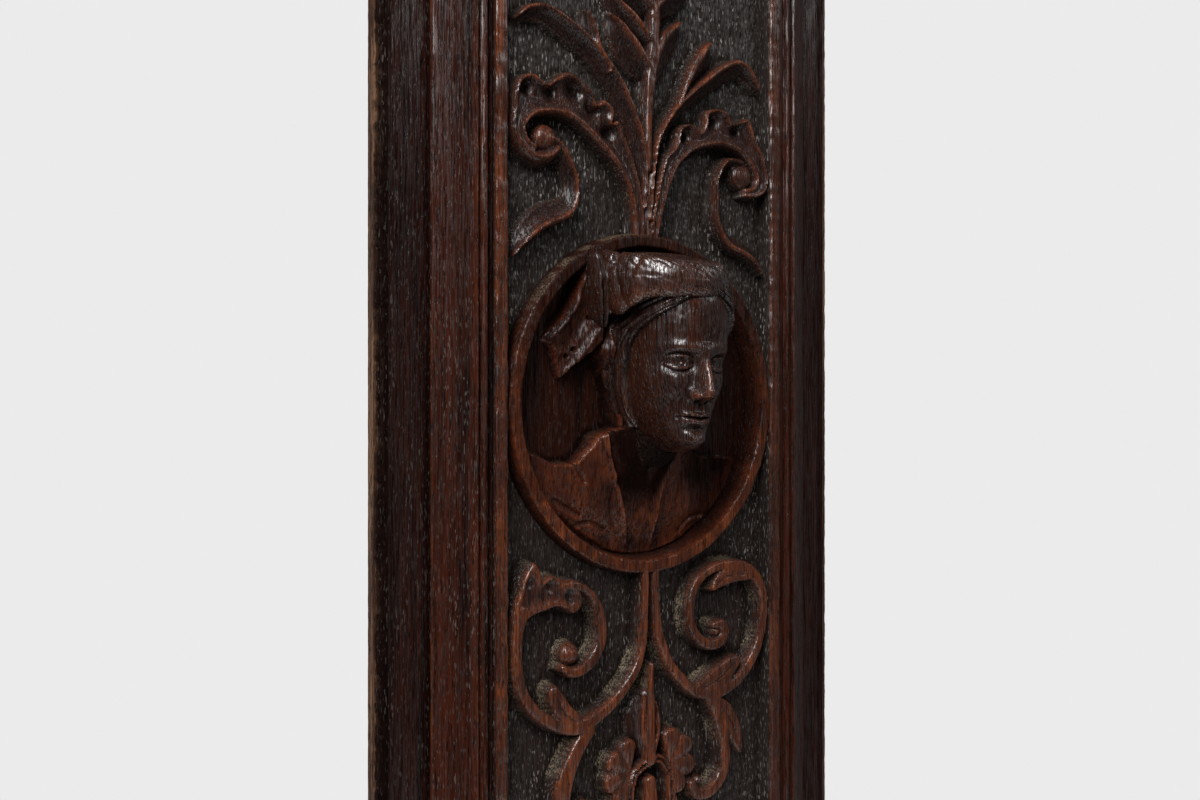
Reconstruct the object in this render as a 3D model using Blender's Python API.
"""Carved oak wall panel: one carved board, a mitred moulding round it, and a flat frame.

The panel stands in the XZ plane with its carving towards -Y, and its back lies in the plane y = 0.
The origin is on the back, behind the centre of the medallion. Figures are millimetres: x runs to the
right, z runs up, and a relief height is measured outwards from the sunk ground of the carved board.
"""
from math import cos, hypot, pi, radians, sin

import bmesh
import bpy
import numpy as np
from mathutils import Euler, Vector
from mathutils.geometry import delaunay_2d_cdt

for old in list(bpy.data.objects):
    bpy.data.objects.remove(old)

MM = 0.001
GAP = 0.3                      # between neighbouring pieces

# The carved board
FIELD_W, FIELD_H = 180.0, 660.0  # sunk field inside the border fillet
FILLET = 7.6                   # flat border left standing round the field
BOARD_T = 26.0                 # board thickness at the fillet
RELIEF = 9.5                   # depth of the sunk ground below the fillet
WALL = 1.5                     # run of the cut side walls of the carving
HALF_W, HALF_H = FIELD_W / 2, FIELD_H / 2
EDGE_W, EDGE_H = HALF_W + FILLET, HALF_H + FILLET

# The medallion, centred on the origin
RING_OUT, RING_IN = 89.0, 82.5  # flat face of the ring
RING_SLOPE = 3.0               # run of the ring's inner wall
DISC_DEPTH = 3.5               # the disc lies this far below the outer ground
RING_SIDES = 56
BODY_SIDES = 14                # sides of the neck and of the cap's crown
ROOT = -20.0                   # bodies standing out from the disc start this deep in the board

# The moulding and the frame, as distances outside the field
MOULDING_IN, MOULDING_OUT = FILLET + 0.4, 37.6
FRAME_OUT = 62.3
FRAME_T = 11.6
ARRIS, ARRIS_DROP = 4.5, 1.4   # worn outer corner of the frame: its width and how far it falls
FRAME_W, FRAME_H = HALF_W + FRAME_OUT, HALF_H + FRAME_OUT

STEP = 11.0                    # greatest spacing of the stations along a carved stem or leaf
BEND = radians(24)             # greatest turn between two stations
TOUCH = 0.12                   # outline points closer than this are one point
SAME = 1e-6                    # metres

CARVED_COLOUR = (0.075, 0.042, 0.030)
MOULDING_COLOUR = (0.085, 0.040, 0.030)
FRAME_COLOUR = (0.055, 0.030, 0.026)

# Cross sections of the carving: (place across the width, share of the full height)
STEM = ((-1, 0.88), (0, 1.0), (1, 0.88))
ROUND = ((-1, 0.72), (0, 1.0), (1, 0.72))
RIGHT_CREST = ((-1, 0.7), (0.5, 1.0), (1, 0.86))
LEFT_CREST = ((-1, 0.86), (-0.5, 1.0), (1, 0.7))


def flow(points):
    """Stations on a smooth curve through (x, z, half width) points, closer where it turns."""
    p = np.array([points[0], *points, points[-1]], float)
    stations = []
    for a, b, c, d in zip(p, p[1:], p[2:], p[3:]):
        turn = Vector((c - a)[:2]).angle(Vector((d - b)[:2]))
        count = max(1, round(hypot(*(c - b)[:2]) / STEP), round(turn / BEND))
        for t in np.arange(count) / count:
            stations.append(0.5 * (2 * b + (c - a) * t + (2 * a - 5 * b + 4 * c - d) * t**2
                                   + (3 * b - 3 * c + d - a) * t**3))
    stations.append(p[-1])
    return np.array(stations)


def mirrored(points):
    return [(-x, z, w) for x, z, w in points]


def offset(line, across, beyond=None):
    """The line moved sideways by the distances in across, lengthened at both ends by beyond."""
    along = np.gradient(line[:, :2], axis=0)
    along /= np.linalg.norm(along, axis=1)[:, None]
    left = np.stack([-along[:, 1], along[:, 0]], 1)
    moved = line[:, :2] + left * np.reshape(across, (-1, 1))
    if beyond is None:
        return moved
    first, last = line[0, :2] - along[0] * beyond[0], line[-1, :2] + along[-1] * beyond[1]
    return moved, first, last


class Stroke:
    """A stem, leaf or lobe: a band of changing width that follows a curve."""

    def __init__(self, points, section=STEM, height=RELIEF, tip=1.0):
        self.line = flow(points)
        self.section = section
        self.crest = height * np.linspace(1, tip, len(self.line))

    def outlines(self):
        line, width = self.line, self.line[:, 2]
        for u, _ in self.section[1:-1]:
            yield offset(line, width * u), False
        for extra in (0, WALL):
            left, first, last = offset(line, width + extra, width[[0, -1]] + extra)
            right = offset(line, -width - extra)
            yield np.vstack([first, left, last, right[::-1]]), True

    def top(self, x, z):
        best = np.full(x.shape, np.inf)
        height = np.full(x.shape, -np.inf)
        places, shares = zip(*self.section)
        for a, b, high, low in zip(self.line, self.line[1:], self.crest, self.crest[1:]):
            ax, az = (b - a)[:2]
            t = np.clip(((x - a[0]) * ax + (z - a[1]) * az) / (ax * ax + az * az), 0, 1)
            dx, dz = x - a[0] - t * ax, z - a[1] - t * az
            away = np.hypot(dx, dz)
            width = a[2] + (b[2] - a[2]) * t
            u = np.sign(ax * dz - az * dx) * np.minimum(away / width, 1)
            crest = (high + (low - high) * t) * np.interp(u, places, shares)
            wall = np.clip((away - width) / WALL, 0, None)
            nearer = away - width < best
            best = np.where(nearer, away - width, best)
            height = np.where(nearer, np.where(wall < 1, crest * (1 - wall), -np.inf), height)
        return height


class Boss:
    """A round button, such as the eye of a scroll."""

    def __init__(self, x, z, radius, height=RELIEF, sides=9):
        self.place, self.radius, self.height = (x, z), radius, height
        self.turn = [(cos(2 * pi * i / sides), sin(2 * pi * i / sides)) for i in range(sides)]

    def outlines(self):
        for r in (0.5 * self.radius, self.radius, self.radius + WALL):
            yield np.array(self.place) + r * np.array(self.turn), True

    def top(self, x, z):
        away = np.hypot(x - self.place[0], z - self.place[1])
        dome = self.height * (1 - 0.35 * np.minimum(away / self.radius, 1) ** 2)
        wall = (away - self.radius) / WALL
        return np.where(wall < 1, dome * (1 - np.clip(wall, 0, 1)), -np.inf)


class Plate:
    """A flat piece of relief with a drawn outline, such as the shoulders or a cap's lappet."""

    def __init__(self, outline, heights, creases=(), floor=-DISC_DEPTH):
        self.outline, self.heights, self.creases = np.array(outline, float), heights, creases
        self.floor = floor

    def outlines(self):
        for crease in self.creases:
            yield np.array(crease, float), False
        yield self.outline, True
        ahead, behind = np.roll(self.outline, -1, 0), np.roll(self.outline, 1, 0)
        along = (ahead - behind) / np.linalg.norm(ahead - behind, axis=1)[:, None]
        yield self.outline + WALL * np.stack([along[:, 1], -along[:, 0]], 1), True

    def top(self, x, z):
        away = np.full(x.shape, np.inf)
        inside = np.zeros(x.shape, bool)
        for (ax, az), (bx, bz) in zip(self.outline, np.roll(self.outline, -1, 0)):
            ex, ez = bx - ax, bz - az
            t = np.clip(((x - ax) * ex + (z - az) * ez) / (ex * ex + ez * ez), 0, 1)
            away = np.minimum(away, np.hypot(x - ax - t * ex, z - az - t * ez))
            if az != bz:
                inside ^= ((az > z) != (bz > z)) & (x < ax + ex * (z - az) / ez)
        fall = (self.heights(x, z) - self.floor) * np.clip(away / WALL, 0, 1)
        height = self.heights(x, z) - np.where(inside, 0, fall)
        return np.where(inside | (away < WALL), height, -np.inf)


def lobes(starts, tips, width=3.6, height=RELIEF):
    """Rounded lobes, each swelling from its start on a leaf's edge to its tip."""
    for (x0, z0), (x1, z1) in zip(starts, tips):
        middle = (0.45 * x0 + 0.55 * x1, 0.45 * z0 + 0.55 * z1, width)
        yield Stroke([(x0, z0, 0.8 * width), middle, (x1, z1, 0.45 * width)], ROUND, height, 0.8)


def shell(x, z, reach, start, stop, count):
    """A scalloped shell: count rounded lobes that open from one point between two angles."""
    def share(angle):
        place = (np.degrees(angle) - start) / (stop - start) * count
        return np.abs(np.sin(np.clip(place, 0, count) * pi))

    def heights(px, pz):
        angle = np.arctan2(pz - z, px - x)
        angle = np.where(np.degrees(angle) < start - 60, angle + 2 * pi, angle)
        return RELIEF * (0.74 + 0.24 * share(angle) * np.clip(np.hypot(px - x, pz - z) / reach, 0, 1))

    rim = []
    for angle in map(radians, np.linspace(start, stop, 4 * count + 1)):
        r = reach * (0.8 + 0.2 * share(angle) ** 0.6)
        rim.append((x + r * cos(angle), z + r * sin(angle)))
    valleys = [[(x + r * cos(a), z + r * sin(a)) for r in (0.1 * reach, 0.8 * reach)]
               for a in map(radians, np.linspace(start, stop, count + 1)[1:-1])]
    ridges = [[(x + r * cos(a), z + r * sin(a)) for r in (0.3 * reach, 0.9 * reach)]
              for a in map(radians, np.linspace(start, stop, 2 * count + 1)[1::2])]
    yield Plate([(x, z), *rim], heights, valleys + ridges, 0)


def upper_foliage():
    """The trunk, two long blades, two lobed scrolls with tails, and a bud between them."""
    yield Stroke([(-3.2, 84, 6.4), (-3.2, 96, 6.2), (-2.6, 112, 5.6), (-1, 130, 3.4)], STEM, 7.5)
    yield Stroke([(-1.5, 124, 1.8), (-1.5, 145, 2), (-0.5, 165, 2.4), (1.5, 180, 3), (3, 195, 2.8),
                  (3, 212, 3), (2, 226, 3.2)])
    # Blades, each with a lobe standing on its upper edge
    yield Stroke([(-3.6, 128, 2.6), (-7.2, 140, 3.3), (-13, 150.5, 3.8), (-19, 161, 4.1),
                  (-26.4, 170, 4.3), (-36, 178.5, 4.4), (-46, 185, 4.6), (-57, 190, 4.6),
                  (-67, 193.5, 4.2), (-76, 192.5, 3), (-83, 188, 1.2)], RIGHT_CREST, tip=0.8)
    yield Stroke([(-29, 172, 3), (-36, 181, 3.6), (-39, 190, 3.4), (-41.5, 199, 1.3)], RIGHT_CREST)
    yield Stroke([(4.3, 126, 2.6), (7.8, 140, 3), (14.8, 151, 3.2), (22.8, 160, 3.5),
                  (32.8, 168.5, 3.8), (44.8, 177, 4.6), (54.8, 184, 4.8), (65.8, 189, 4.5),
                  (74.8, 187, 3.5), (83, 180, 1.2)], LEFT_CREST, tip=0.8)
    yield Stroke([(28, 171, 3.5), (36, 180, 4.5), (42, 190, 4.5), (47, 200, 1.5)], LEFT_CREST)
    # Left scroll, its lobes and its tail
    yield Stroke([(-7, 98, 3), (-10, 112, 3.4), (-15.4, 125, 3.9), (-23, 135.5, 4.2), (-33, 144, 4.6),
                  (-45, 150, 5), (-58, 151.5, 5.4), (-70, 150.5, 5.5), (-79, 146.5, 5), (-83, 139, 4.2),
                  (-82.5, 130, 3.6), (-77.5, 124, 3.4), (-70, 121.5, 3.2), (-64, 124, 2.8)], RIGHT_CREST)
    yield from lobes([(-14, 130), (-25, 140), (-37, 148), (-54, 154), (-68, 154), (-77, 151)],
                     [(-20, 145), (-28, 152), (-41, 160), (-50, 164), (-73, 161), (-81, 157.5)])
    yield Boss(-67.5, 132.5, 5.2)
    yield Stroke([(-62, 128, 2.4), (-55, 124, 2.4), (-50.5, 114, 2.4), (-50.5, 105, 3),
                  (-54, 98.5, 4.5), (-62, 95, 5.6), (-71, 90.5, 5), (-79, 83, 3.8), (-86, 73, 1.2)],
                 LEFT_CREST, tip=0.8)
    # Right scroll, its lobes and its tail
    yield Stroke([(6, 100, 2.8), (10.5, 115, 4), (17, 127, 4.4), (26, 137, 4.8), (38, 145, 5),
                  (50, 147.5, 5), (62, 147.5, 5), (74, 143.5, 4.6), (82, 136.5, 4.2), (85, 127.5, 3.8),
                  (80, 120.5, 3.4), (72, 118.5, 3.2), (64, 121, 2.8)], LEFT_CREST)
    yield from lobes([(14, 133), (28, 147), (43, 152), (50, 153), (61, 152)],
                     [(20, 147), (41, 161), (51, 163), (58, 161.5), (75, 160)])
    yield Boss(70, 129, 5.6)
    yield Stroke([(61, 135, 2), (54, 131.5, 2.5), (50.5, 124, 2.8), (50, 114, 3.2), (50.5, 105, 3.5),
                  (54, 97, 4), (61, 90.5, 4.3), (70, 88, 4.5), (79, 83.5, 3.6), (87, 75, 1)],
                 RIGHT_CREST, tip=0.8)
    # Bud leaves
    yield Stroke([(0, 178, 3), (-7, 183.5, 4.6), (-14, 189.5, 4.6), (-22, 195, 1.5)], ROUND)
    yield Stroke([(-1, 191, 2.6), (-9, 196, 3.8), (-17, 201.5, 3.8), (-26, 204, 1.2)], ROUND)
    yield Stroke([(3, 180, 3), (9, 188, 5), (14, 195, 5.4), (23.5, 206, 1.5)], ROUND)
    yield Stroke([(0, 205, 3), (-9, 210, 4), (-18, 212, 4), (-27, 210, 1.2)], ROUND, tip=0.8)
    yield Stroke([(4, 207, 2.6), (12, 213.5, 4), (20, 218, 4), (27, 218, 1.2)], ROUND, tip=0.8)


def top_ornament():
    """Plainer finish above: a pair of small scrolls and a pointed palmette."""
    scroll = [(4, 214, 2.6), (13, 228, 3.6), (27, 236, 4), (42, 234.5, 4.4), (55, 240, 4),
              (58, 252, 3.4), (50, 261, 3), (40, 256, 2.8)]
    yield Stroke(scroll, LEFT_CREST)
    yield Stroke(mirrored(scroll), RIGHT_CREST)
    for side in (-1, 1):
        yield Boss(side * 44, 249.5, 4.4)
        yield Stroke([(side * 4, 240, 4), (side * 15, 258, 5.6), (side * 23, 273, 4.2),
                      (side * 31, 279, 1.2)], ROUND, tip=0.7)
    yield Stroke([(2, 222, 4), (0, 246, 7), (0, 270, 7.4), (0, 289, 4.2), (0, 303, 1)], STEM)


def lower_foliage():
    """Twin stems that turn out into two full scrolls and run on below them."""
    # Left stem and scroll
    yield Stroke([(-3.4, -86, 1.5), (-3.4, -100, 1.5), (-4.5, -120, 1.8), (-6.2, -130, 1.9),
                  (-10.7, -140, 2.4), (-20, -150, 2.6), (-30, -157, 2.8), (-42, -162, 3.4),
                  (-50, -163, 3.6), (-60, -160.5, 3.2), (-70, -154.5, 3), (-78.5, -146, 2.8),
                  (-83, -136, 2.6), (-84.7, -124, 2.6), (-84.5, -112, 2.8), (-82, -102, 3.4)])
    yield Stroke([(-84, -107, 2.6), (-78, -98.5, 5.2), (-68, -97, 6), (-58, -99, 5), (-50, -102, 3.2)],
                 ROUND)
    yield Stroke([(-81, -99, 3), (-77, -88, 3.2), (-75, -77, 1)], ROUND)
    yield from lobes([(-70, -94), (-62, -95)], [(-69.5, -81), (-60, -87)], 3)
    yield Stroke([(-66, -92, 2), (-55, -90.5, 1.8), (-46, -92.5, 2), (-38, -99.5, 2.2),
                  (-33.5, -109, 2.4), (-32.8, -119, 2.6), (-36.5, -127.5, 2.8), (-44.5, -133, 2.8),
                  (-53, -133.5, 2.2)])
    yield Boss(-51, -126, 4.6)
    yield Stroke([(-52, -161, 3.6), (-58.5, -153, 3.6), (-61.5, -143.5, 1.4)], ROUND)
    # Right stem and scroll
    yield Stroke([(3.5, -86, 1.8), (3.5, -100, 1.8), (4.3, -110, 2), (5.3, -120, 2.4), (9, -130, 2.4),
                  (13.8, -140, 2.5), (23, -150, 2.8), (32, -157, 3), (45, -160.5, 3.2),
                  (56, -158.5, 3.2), (66, -154, 3), (75, -146, 2.8), (81.5, -135, 2.6),
                  (84.5, -121, 2.6), (84, -108, 2.8), (78, -98, 3.2), (69, -92.5, 3.2), (58, -90.3, 2.6),
                  (46, -91, 2.4), (36.5, -95, 2.4), (30.5, -102, 2.4), (28.3, -112, 2.4),
                  (29.5, -121.5, 2.5), (35, -129, 2.6), (43.5, -132.5, 2.6), (51.5, -131, 2.3)])
    yield Boss(49.5, -124, 4.4)
    yield Stroke([(72, -97, 2.8), (62, -97, 3), (53, -97.5, 3.2), (47.5, -100.5, 3.4)], ROUND)
    yield Stroke([(34, -157, 3), (46, -154, 3.6), (57, -149, 3.8), (65, -147, 2.8)], ROUND)
    # Lower stems, curling in again at their ends, and a side leaf
    yield Stroke([(-41, -166, 3.4), (-47, -172.5, 3.8), (-52.5, -181, 4.2), (-56.5, -190, 4.8),
                  (-58, -198, 4.8), (-56, -208, 4.4), (-49, -215, 3.8), (-40, -215, 3.4),
                  (-35, -209, 3)])
    yield Boss(-42.5, -205, 3.4)
    yield Stroke([(42, -161, 3.4), (49, -171, 3.8), (52.5, -182, 3.4), (54.5, -193, 3.2),
                  (54, -202, 3.2), (49.5, -209.5, 3.2), (41.5, -214, 3.2), (33, -213, 3),
                  (30, -207.5, 2.6)])
    yield Boss(34.5, -206, 2.8)
    yield Stroke([(46, -165, 3.4), (54.5, -172, 4.4), (60, -181, 4.6), (64, -190, 3.2),
                  (66, -196, 1)], ROUND)


def palmette():
    """Spike, petals and shells between the lower stems, and the arch of a bell flower below."""
    yield Stroke([(-0.5, -188, 3.5), (-0.5, -170, 3), (0, -153, 2), (0.5, -138, 0.8)])
    yield Stroke([(-3, -188, 3), (-7.5, -176, 3.4), (-7.5, -165, 3), (-4, -152, 0.9)], ROUND)
    yield Stroke([(5, -186, 3), (8.5, -176, 3), (8, -166, 2.6), (4, -157, 0.9)], ROUND)
    yield from shell(-12.5, -193, 17.5, 75, 265, 4)
    yield from shell(14, -193, 18.5, -85, 105, 4)
    yield Stroke([(-14, -203, 2), (-10, -194, 2), (0, -189, 2), (8, -190, 2), (15, -200, 2)], ROUND)


def bottom_ornament():
    """Plainer finish below: the bell flower's flared sides and two husks under it."""
    for side in (-1, 1):
        yield Stroke([(side * 14, -200, 2.2), (side * 15.5, -214, 3.2), (side * 21, -227, 3),
                      (side * 28, -233, 1)], ROUND, tip=0.8)
    for top, size in ((-200, 1.0), (-243, 0.8), (-272, 0.6)):
        yield Stroke([(0, top, 3.2 * size), (0, top - 24 * size, 5.2 * size),
                      (0, top - 44 * size, 1.2)], STEM)
        for side in (-1, 1) if size < 1 else ():
            yield Stroke([(side * 2, top, 3.5 * size), (side * 9 * size, top - 14 * size, 5 * size),
                          (side * 14 * size, top - 30 * size, 1.2)], ROUND)


def bust():
    """Shoulders and bodice in low relief, cut off along a scalloped edge near the ring."""
    def chest(x, z):
        return 3.5 + 13 * np.exp(-((x + 2) / 30) ** 2 - ((z + 18) / 26) ** 2)

    shoulders = [(-77, -23.5), (-68, -26), (-58, -31), (-46, -30.5), (-38, -23), (-29, -15),
                 (-14, -12), (14, -15), (28, -25), (44, -30), (60, -31), (73, -33)]
    hem = [(66, -46), (56, -54), (43, -60), (30, -64), (16, -72), (0, -76), (-15, -74),
           (-27, -66), (-38, -60.5), (-49, -54.5), (-60, -55), (-70, -45)]
    lapels = [[(-28, -19), (-24, -36), (-17, -54), (-12, -69)],
              [(14, -19), (12, -36), (5, -52), (2, -71)]]
    folds = [[(30, -27), (26, -42), (22, -60)], [(-52, -31), (-44, -42), (-36, -54)],
             [(-6, -16), (-6, -30), (-5, -46)]]
    yield Plate(hem[::-1] + shoulders[::-1], chest, lapels + folds)


def cap_lappets():
    """The cap's hanging side pieces: a flaring one on the left, a small one on the far side."""
    def left_sheet(x, z):
        return 1.0 + 13.0 * np.clip((x + 63) / 30, 0, 1)

    def fold(x, z):
        return 20.0 + 0 * x

    def right_sheet(x, z):
        return 9.0 + 0 * x

    yield Plate([(-38, 80), (-42, 68), (-47, 53), (-53, 42), (-62, 32), (-55, 23), (-53, 14),
                 (-46, 21), (-39, 27.5), (-33, 32), (-30, 52), (-30, 76)], left_sheet,
                [[(-38, 74), (-41, 56), (-47, 39), (-56, 30)]])
    yield Plate([(-37, 79.5), (-35.5, 62), (-35, 42), (-29, 40), (-26, 58), (-27, 80)], fold)
    yield Plate([(28, 56), (29, 24), (35, 8), (42, -4), (46, 4), (46, 24), (40, 46)], right_sheet)


def hair_falls():
    """Hair hanging on both sides of the face: a full fall on the left, a lock on the far side."""
    def fall(x, z):
        return 6.0 + 0.8 * np.clip(x + 38, 0, 18) + 0.25 * np.minimum(z, 0)

    yield Plate([(-31, 48), (-33, 38), (-36, 30), (-38, 25), (-35.5, 18), (-32.5, 10), (-29.5, 3),
                 (-27.5, -6), (-26.5, -19), (-14, -20), (-14, 48)], fall,
                [[(-29, 44), (-31, 26), (-26, 4), (-22, -14)]])
    yield Stroke([(29, 44, 5), (31, 26, 4.5), (29, 4, 4.5), (25, -16, 4)], ROUND, 18.0, 0.7)


def board_height(x, z):
    """Height of the bare board: border fillet, sunk ground, ring and disc."""
    border = np.maximum(np.abs(x) - HALF_W, np.abs(z) - HALF_H)
    height = np.interp(border, (-WALL, 0), (0, RELIEF))
    radii = (RING_IN - RING_SLOPE, RING_IN, RING_OUT, RING_OUT + WALL)
    ring = np.interp(np.hypot(x, z), radii, (-DISC_DEPTH, RELIEF, RELIEF, 0))
    return np.where(np.hypot(x, z) < RING_IN, ring, np.maximum(height, ring))


def rectangle(half_w, half_h):
    return np.array([(-half_w, -half_h), (half_w, -half_h), (half_w, half_h), (-half_w, half_h)])


def carved_surface():
    """Triangles over the board's face whose edges follow every outline of the carving."""
    forms = [*upper_foliage(), *top_ornament(), *lower_foliage(), *palmette(), *bottom_ornament(),
             *bust(), *cap_lappets(), *hair_falls()]
    turn = 2 * pi * np.arange(RING_SIDES) / RING_SIDES
    circle = np.stack([np.cos(turn), np.sin(turn)], 1)
    loops = [(rectangle(EDGE_W, EDGE_H), True), (rectangle(HALF_W, HALF_H), True),
             (rectangle(HALF_W - WALL, HALF_H - WALL), True)]
    loops += [(circle * r, True) for r in (RING_IN - RING_SLOPE, RING_IN, RING_OUT, RING_OUT + WALL)]
    for form in forms:
        loops += form.outlines()
    points, edges = [], []
    for loop, closed in loops:
        first, count = len(points), len(loop)
        points += [Vector((float(x), float(z))) for x, z in loop]
        edges += [(first + i, first + (i + 1) % count) for i in range(count if closed else count - 1)]
    flat, _, faces, _, _, _ = delaunay_2d_cdt(points, edges, [], 0, TOUCH)
    x, z = np.array([p[:] for p in flat]).T
    x, z = np.clip(x, -EDGE_W, EDGE_W), np.clip(z, -EDGE_H, EDGE_H)
    height = board_height(x, z)
    for form in forms:
        height = np.maximum(height, form.top(x, z))
    return np.stack([x, -(BOARD_T - RELIEF + height), z], 1) * MM, faces


def new_object(name, mesh, colour, roughness=0.45):
    finish = bpy.data.materials.new(name)
    finish.use_nodes = True
    shader = finish.node_tree.nodes["Principled BSDF"]
    shader.inputs["Base Color"].default_value = (*colour, 1)
    shader.inputs["Roughness"].default_value = roughness
    mesh.materials.append(finish)
    piece = bpy.data.objects.new(name, mesh)
    bpy.context.scene.collection.objects.link(piece)
    return piece


def close_board(points, faces):
    """Give the carved surface its four edges and its flat back."""
    form = bmesh.new()
    corners = [form.verts.new(p) for p in points]
    for face in faces:
        form.faces.new([corners[i] for i in face])
    rim = [edge for edge in form.edges if edge.is_boundary]
    grown = bmesh.ops.extrude_edge_only(form, edges=rim)["geom"]
    for vert in (item for item in grown if isinstance(item, bmesh.types.BMVert)):
        vert.co.y = 0
    bmesh.ops.holes_fill(form, edges=[edge for edge in form.edges if edge.is_boundary])
    bmesh.ops.recalc_face_normals(form, faces=form.faces)
    bmesh.ops.triangulate(form, faces=form.faces)
    mesh = bpy.data.meshes.new("carved_panel")
    form.to_mesh(mesh)
    form.free()
    return mesh


def loft(name, rings):
    """A closed body through rings of equal point counts, in (x, outwards, z) from the fillet's face."""
    form = bmesh.new()
    rows = [[form.verts.new((x * MM, -(BOARD_T + max(d, ROOT)) * MM, z * MM)) for x, d, z in ring]
            for ring in rings]
    for low, high in zip(rows, rows[1:]):
        for i in range(len(low)):
            j = (i + 1) % len(low)
            form.faces.new((low[i], low[j], high[j], high[i]))
    form.faces.new(rows[0][::-1])
    form.faces.new(rows[-1])
    bmesh.ops.recalc_face_normals(form, faces=form.faces)
    bmesh.ops.triangulate(form, faces=form.faces)
    mesh = bpy.data.meshes.new(name)
    form.to_mesh(mesh)
    form.free()
    return mesh


# The head, in millimetres from its own centre: z up, f forwards from the ears
HEAD_AT = (3.0, 13.0, 20.5)    # x, outwards from the fillet, z
HEAD_TURN = (radians(-3), radians(-7))  # nod, turn
HEAD_BACK = -20.0
CAP_X = -2.5                   # the cap sits a little to the left
CAP_RINGS = ((44, 29, 30), (58, 29, 32), (68, 28, 30), (75, 24, 24), (78.5, 18, 12))  # z, wide, deep
BRIM_WIDE, BRIM_DEEP, BRIM_OUT = 29.0, 34.0, 7.0  # the brim's arc round the head
BRIM_Z, BRIM_DROP = 65.5, 4.0  # it sinks a little over the forehead
BRIM_THICK, BRIM_HALF, BRIM_SPREAD = 5.4, 9.6, 2.4  # half thickness, half height, more at the ears
NECK_RINGS = ((-48, 17, -20), (-37, 16.5, -11), (-26, 15, -4), (-14, 14.5, 3), (-2, 15.5, 7),
              (8, 16.5, 9))    # z, radius, outwards
HEAD_ROWS = (-44, -42.5, -39, -35, -31, -27.5, -24.5, -21, -18, -15, -11, -6, -1, 3, 7, 12, 20, 30,
             40, 48, 54)
HEAD_COLUMNS = (-90, -74, -60, -48, -38, -29, -21, -14, -8, -3.5, 0, 3.5, 8, 14, 21, 29, 38, 48,
                60, 74, 90)
HEAD_HALF_WIDTH = ((-44, 6), (-42, 11), (-36, 16), (-27, 21), (-15, 25.5), (0, 28.5), (12, 29.5),
                   (28, 29), (40, 28), (48, 24), (54, 14))
HEAD_DEPTH = ((-44, 14), (-42, 20), (-38, 24.5), (-30, 25), (-20, 26), (-8, 27), (5, 28.5), (20, 30),
              (32, 29), (42, 26), (50, 20), (54, 10))


def bump(x, z, at, size):
    return np.exp(-((x - at[0]) / size[0]) ** 2 - ((z - at[1]) / size[1]) ** 2)


def face_relief(x, z):
    """Brow, eyes, nose, mouth and chin, laid out on the usual proportions of a head."""
    side = np.abs(x)
    relief = 1.8 * bump(side, z, (11, 8.5), (11, 3.4)) - 4.2 * bump(side, z, (12, 1), (7.5, 4.6))
    relief += 2.2 * bump(side, z, (12, 0.3), (5, 3)) + 1.5 * bump(side, z, (18, -9), (8, 7))
    bridge = np.interp(z, (-19, -16.5, -13.5, 5, 9), (0, 7.5, 10, 2.2, 0))
    spread = np.interp(z, (-19, -14, 5), (5.5, 4.6, 3.2))
    relief += bridge * np.exp(-np.abs(x / spread) ** 2.4)
    relief += 2.6 * bump(side, z, (6, -15), (2.6, 3))
    relief += 2.4 * bump(x, z, (0, -24), (10, 2.4)) - 1.8 * bump(x, z, (0, -26.4), (9, 0.9))
    relief += 2.2 * bump(x, z, (0, -29), (7.5, 2.2)) - 1.2 * bump(x, z, (0, -32.5), (9, 1.6))
    return relief + 2.6 * bump(x, z, (0, -38), (8, 4.5))


def head():
    rings = []
    for z in HEAD_ROWS:
        wide = np.interp(z, *zip(*HEAD_HALF_WIDTH))
        deep = np.interp(z, *zip(*HEAD_DEPTH)) - HEAD_BACK
        ring = []
        for angle in map(radians, HEAD_COLUMNS):
            x = wide * np.sign(sin(angle)) * abs(sin(angle)) ** 0.9
            f = HEAD_BACK + deep * abs(cos(angle)) ** 0.82
            f += face_relief(x, z) * np.clip(1.35 * cos(angle), 0, 1)
            turned = Euler((HEAD_TURN[0], 0, HEAD_TURN[1])).to_matrix() @ Vector((x, -f, z))
            ring.append((HEAD_AT[0] + turned.x, HEAD_AT[1] - turned.y, HEAD_AT[2] + turned.z))
        rings.append(ring)
    return loft("head", rings)


def neck():
    rings = [[(1 + radius * cos(a), out + 0.95 * radius * sin(a), z)
              for a in 2 * pi * np.arange(BODY_SIDES) / BODY_SIDES] for z, radius, out in NECK_RINGS]
    return loft("neck", rings)


def cap_crown():
    """The top of the cap, closing the space between the brim and the disc."""
    rings = [[(CAP_X + wide * sin(a), deep * cos(a), z)
              for a in 2 * pi * np.arange(BODY_SIDES) / BODY_SIDES] for z, wide, deep in CAP_RINGS]
    return loft("cap_crown", rings)


def cap_brim():
    """A thick rolled brim that passes over the forehead from ear to ear."""
    rings = []
    for a in map(radians, np.linspace(-100, 100, 17)):
        out = (sin(a), cos(a))
        middle = (CAP_X + BRIM_WIDE * out[0], BRIM_OUT + BRIM_DEEP * out[1], BRIM_Z - BRIM_DROP * out[1])
        ring = []
        for s in 2 * pi * (np.arange(8) + 0.5) / 8:
            proud = BRIM_THICK * cos(s)
            up = (BRIM_HALF + BRIM_SPREAD * (1 - out[1])) * sin(s)
            ring.append((middle[0] + out[0] * proud, middle[1] + out[1] * proud, middle[2] + up))
        rings.append(ring)
    return loft("cap_brim", rings)


def carved_panel():
    panel = new_object("carved_panel", close_board(*carved_surface()), CARVED_COLOUR)
    for mesh in (neck(), head(), cap_crown(), cap_brim()):
        form = new_object(mesh.name, mesh, CARVED_COLOUR)
        form.hide_render = True
        form.display_type = "WIRE"
        join = panel.modifiers.new(mesh.name, "BOOLEAN")
        join.operation, join.solver, join.object = "UNION", "EXACT", form


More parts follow.
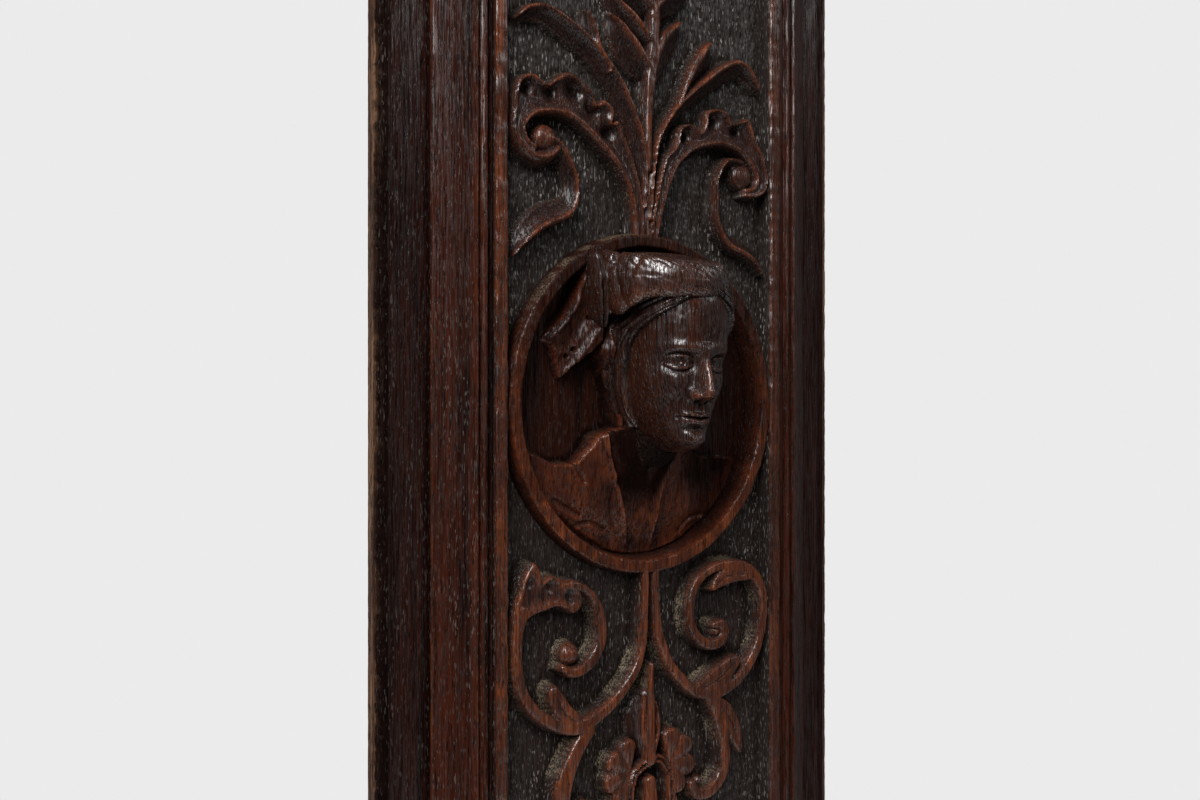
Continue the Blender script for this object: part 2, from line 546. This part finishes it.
def mitred(name, side, profile):
    """A length of moulding: the profile run along one side of the field, mitred at both ends."""
    form = bmesh.new()
    ends = []
    for end in (-1, 1):
        ring = []
        for out, y in profile:
            run = (HALF_H if side in ("left", "right") else HALF_W) + out - GAP / 2
            across = (HALF_W if side in ("left", "right") else HALF_H) + out
            x, z = {"left": (-across, end * run), "right": (across, end * run),
                    "top": (end * run, across), "bottom": (end * run, -across)}[side]
            ring.append(form.verts.new((x * MM, -y * MM, z * MM)))
        ends.append(ring)
    for i in range(len(profile)):
        j = (i + 1) % len(profile)
        form.faces.new((ends[0][i], ends[0][j], ends[1][j], ends[1][i]))
    form.faces.new(ends[0][::-1])
    form.faces.new(ends[1])
    bmesh.ops.recalc_face_normals(form, faces=form.faces)
    bmesh.ops.triangulate(form, faces=form.faces)
    mesh = bpy.data.meshes.new(name)
    form.to_mesh(mesh)
    form.free()
    new_object(name, mesh, MOULDING_COLOUR)


def moulding_profile():
    """Inner edge, cove, bead, quirk, long bevel and outer edge, as (out, height above the wall)."""
    back = FRAME_T + GAP
    bead = [(14.2 + 2.1 * cos(a), 24.6 + 2.4 * sin(a)) for a in np.linspace(pi, 0, 6)]
    return [(MOULDING_IN, back), (MOULDING_IN, 23.4), (11.2, 23.0), *bead, (17.0, 24.2), (18.0, 26.6),
            (36.9, 16.4), (MOULDING_OUT, 15.6), (MOULDING_OUT, back)]


def frame_board(name, low, high, worn):
    """A flat board from corner low to corner high, its outer front corner worn away."""
    form = bmesh.new()
    verts = []
    for x in (low[0], high[0]):
        for z in (low[1], high[1]):
            verts += [form.verts.new((x * MM, y * MM, z * MM)) for y in (0, -FRAME_T)]
    bmesh.ops.convex_hull(form, input=verts)

    def at_edge(vert):
        return abs(vert.co[worn] - edge_at(low, high, worn)) < SAME

    outer = [edge for edge in form.edges
             if all(at_edge(vert) and abs(vert.co.y + FRAME_T * MM) < SAME for vert in edge.verts)]
    bmesh.ops.bevel(form, geom=outer, offset=ARRIS * MM, segments=1, affect="EDGES")
    for vert in form.verts:
        if at_edge(vert) and vert.co.y < -FRAME_T * MM / 2:
            vert.co.y = -(FRAME_T - ARRIS_DROP) * MM
    bmesh.ops.recalc_face_normals(form, faces=form.faces)
    bmesh.ops.triangulate(form, faces=form.faces)
    mesh = bpy.data.meshes.new(name)
    form.to_mesh(mesh)
    form.free()
    new_object(name, mesh, FRAME_COLOUR)


def edge_at(low, high, axis):
    """The board's outer edge along an axis: x for the stiles, z for the rails."""
    pair = (low[0], high[0]) if axis == 0 else (low[1], high[1])
    return max(pair, key=abs) * MM


carved_panel()
for side in ("left", "right", "top", "bottom"):
    mitred("moulding_" + side, side, moulding_profile())
inner_w, inner_h = EDGE_W + 0.4, EDGE_H + 0.4
for name, sign in (("left", -1), ("right", 1)):
    frame_board("stile_" + name, (sign * inner_w, -FRAME_H), (sign * FRAME_W, FRAME_H), 0)
for name, sign in (("bottom", -1), ("top", 1)):
    frame_board("rail_" + name, (-inner_w + GAP, sign * inner_h), (inner_w - GAP, sign * FRAME_H), 2)
